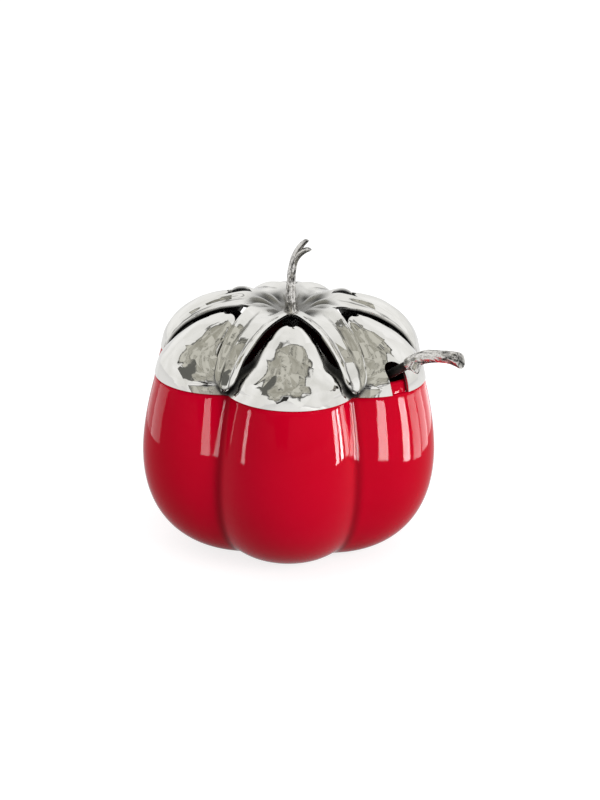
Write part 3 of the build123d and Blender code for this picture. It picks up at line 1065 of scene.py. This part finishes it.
def patch_mask(tree, aside, over, patch):
    """One in a patch of the surroundings, given by its angles to the side and over the horizon."""
    beside, above = patch
    return math_node(tree, "MULTIPLY", angle_mask(tree, aside, *beside), angle_mask(tree, over, *above))


def surround_noise(tree, place, scale, detail):
    node = tree.nodes.new("ShaderNodeTexNoise")
    node.inputs["Scale"].default_value = scale
    node.inputs["Detail"].default_value = detail
    tree.links.new(place.outputs["Generated"], node.inputs["Vector"])
    return node.outputs["Fac"]


def make_world():
    """A white studio. Mirrors see a grey room in it, with a dark edge, a shaded panel and a person."""
    world = bpy.data.worlds.new("studio")
    bpy.context.scene.world = world
    world.use_nodes = True
    tree = world.node_tree
    background = tree.nodes["Background"]
    place = tree.nodes.new("ShaderNodeTexCoord")
    turn = tree.nodes.new("ShaderNodeMapping")
    turn.inputs["Rotation"].default_value = (0, 0, radians(-CAMERA_AZIMUTH))
    tree.links.new(place.outputs["Generated"], turn.inputs["Vector"])
    way = tree.nodes.new("ShaderNodeSeparateXYZ")
    tree.links.new(turn.outputs["Vector"], way.inputs["Vector"])
    blotch = surround_noise(tree, place, 3.2, 1.0)
    jagged = range_node(tree, blotch, radians(-RAGGED), radians(RAGGED))
    front = math_node(tree, "MULTIPLY", way.outputs["Y"], -1.0)
    aside = math_node(tree, "ADD", math_node(tree, "ARCSINE", way.outputs["X"]), jagged)
    over = math_node(tree, "ADD", math_node(tree, "ARCTAN2", way.outputs["Z"], front), jagged)
    wall = surround_noise(tree, place, 2.0, 2.0)
    white = mix_node(tree, range_node(tree, wall, 0.0, 1.0), CLOTH_GREY, WHITE)
    framed = mix_node(tree, patch_mask(tree, aside, over, EDGE), WHITE, ROOM_DARK)
    tree.links.new(white, framed.node.inputs["A"])
    crinkle = surround_noise(tree, place, 5.0, 2.0)
    grey = mix_node(tree, range_node(tree, crinkle, 0.0, 1.0, 0.35, 0.6), ROOM_GREY, ROOM_LIGHT)
    off_line = math_node(tree, "ABSOLUTE", math_node(tree, "SUBTRACT", crinkle, 0.5))
    lined = mix_node(tree, range_node(tree, off_line, 0.8, 0.0, 0.0, 0.02), ROOM_GREY, ROOM_DARK)
    tree.links.new(grey, lined.node.inputs["A"])
    furnished = mix_node(tree, patch_mask(tree, aside, over, ROOM), WHITE, ROOM_GREY)
    tree.links.new(framed, furnished.node.inputs["A"])
    tree.links.new(lined, furnished.node.inputs["B"])
    panelled = mix_node(tree, patch_mask(tree, aside, over, PANEL), WHITE, ROOM_SHADE)
    tree.links.new(furnished, panelled.node.inputs["A"])
    manned = mix_node(tree, patch_mask(tree, aside, over, PERSON), WHITE, ROOM_DARK)
    tree.links.new(panelled, manned.node.inputs["A"])
    path = tree.nodes.new("ShaderNodeLightPath")
    mirrored = mirror_node(tree, path)
    colour = mix_node(tree, mirrored, WHITE, WHITE)
    tree.links.new(manned, colour.node.inputs["B"])
    tree.links.new(colour, background.inputs["Color"])
    seen = math_node(tree, "MAXIMUM", mirrored, path.outputs["Is Camera Ray"])
    strength = range_node(tree, seen, AMBIENT, WHITE_LEVEL, 0.0, 1.0)
    tree.links.new(strength, background.inputs["Strength"])


def make_camera():
    lens = bpy.data.cameras.new("camera")
    lens.lens = CAMERA_LENS
    lens.sensor_width = SENSOR_WIDTH
    lens.shift_x = AIM_OFF_MIDDLE[0] / IMAGE_LONG_SIDE
    lens.shift_y = AIM_OFF_MIDDLE[1] / IMAGE_LONG_SIDE
    camera = bpy.data.objects.new("camera", lens)
    turn, rise = radians(CAMERA_AZIMUTH), radians(CAMERA_ELEVATION)
    back = Vector((sin(turn) * cos(rise), -cos(turn) * cos(rise), sin(rise)))
    camera.location = (Vector(AIM) + back * CAMERA_DISTANCE) * MM
    look = (-back).to_track_quat("-Z", "Y").to_matrix().to_4x4()
    roll = Matrix.Rotation(radians(CAMERA_ROLL), 4, "Z")
    camera.rotation_euler = (look @ roll).to_euler()
    bpy.context.scene.collection.objects.link(camera)
    bpy.context.scene.camera = camera


make_floor()
make_world()
for lamp_name, placing in ROOM_LAMPS.items():
    make_lamp(lamp_name, *placing)
for lamp_name, placing in POT_LAMPS.items():
    make_lamp(lamp_name, *placing, "pot_shell")
make_camera()
bpy.context.scene.view_settings.view_transform = "Standard"
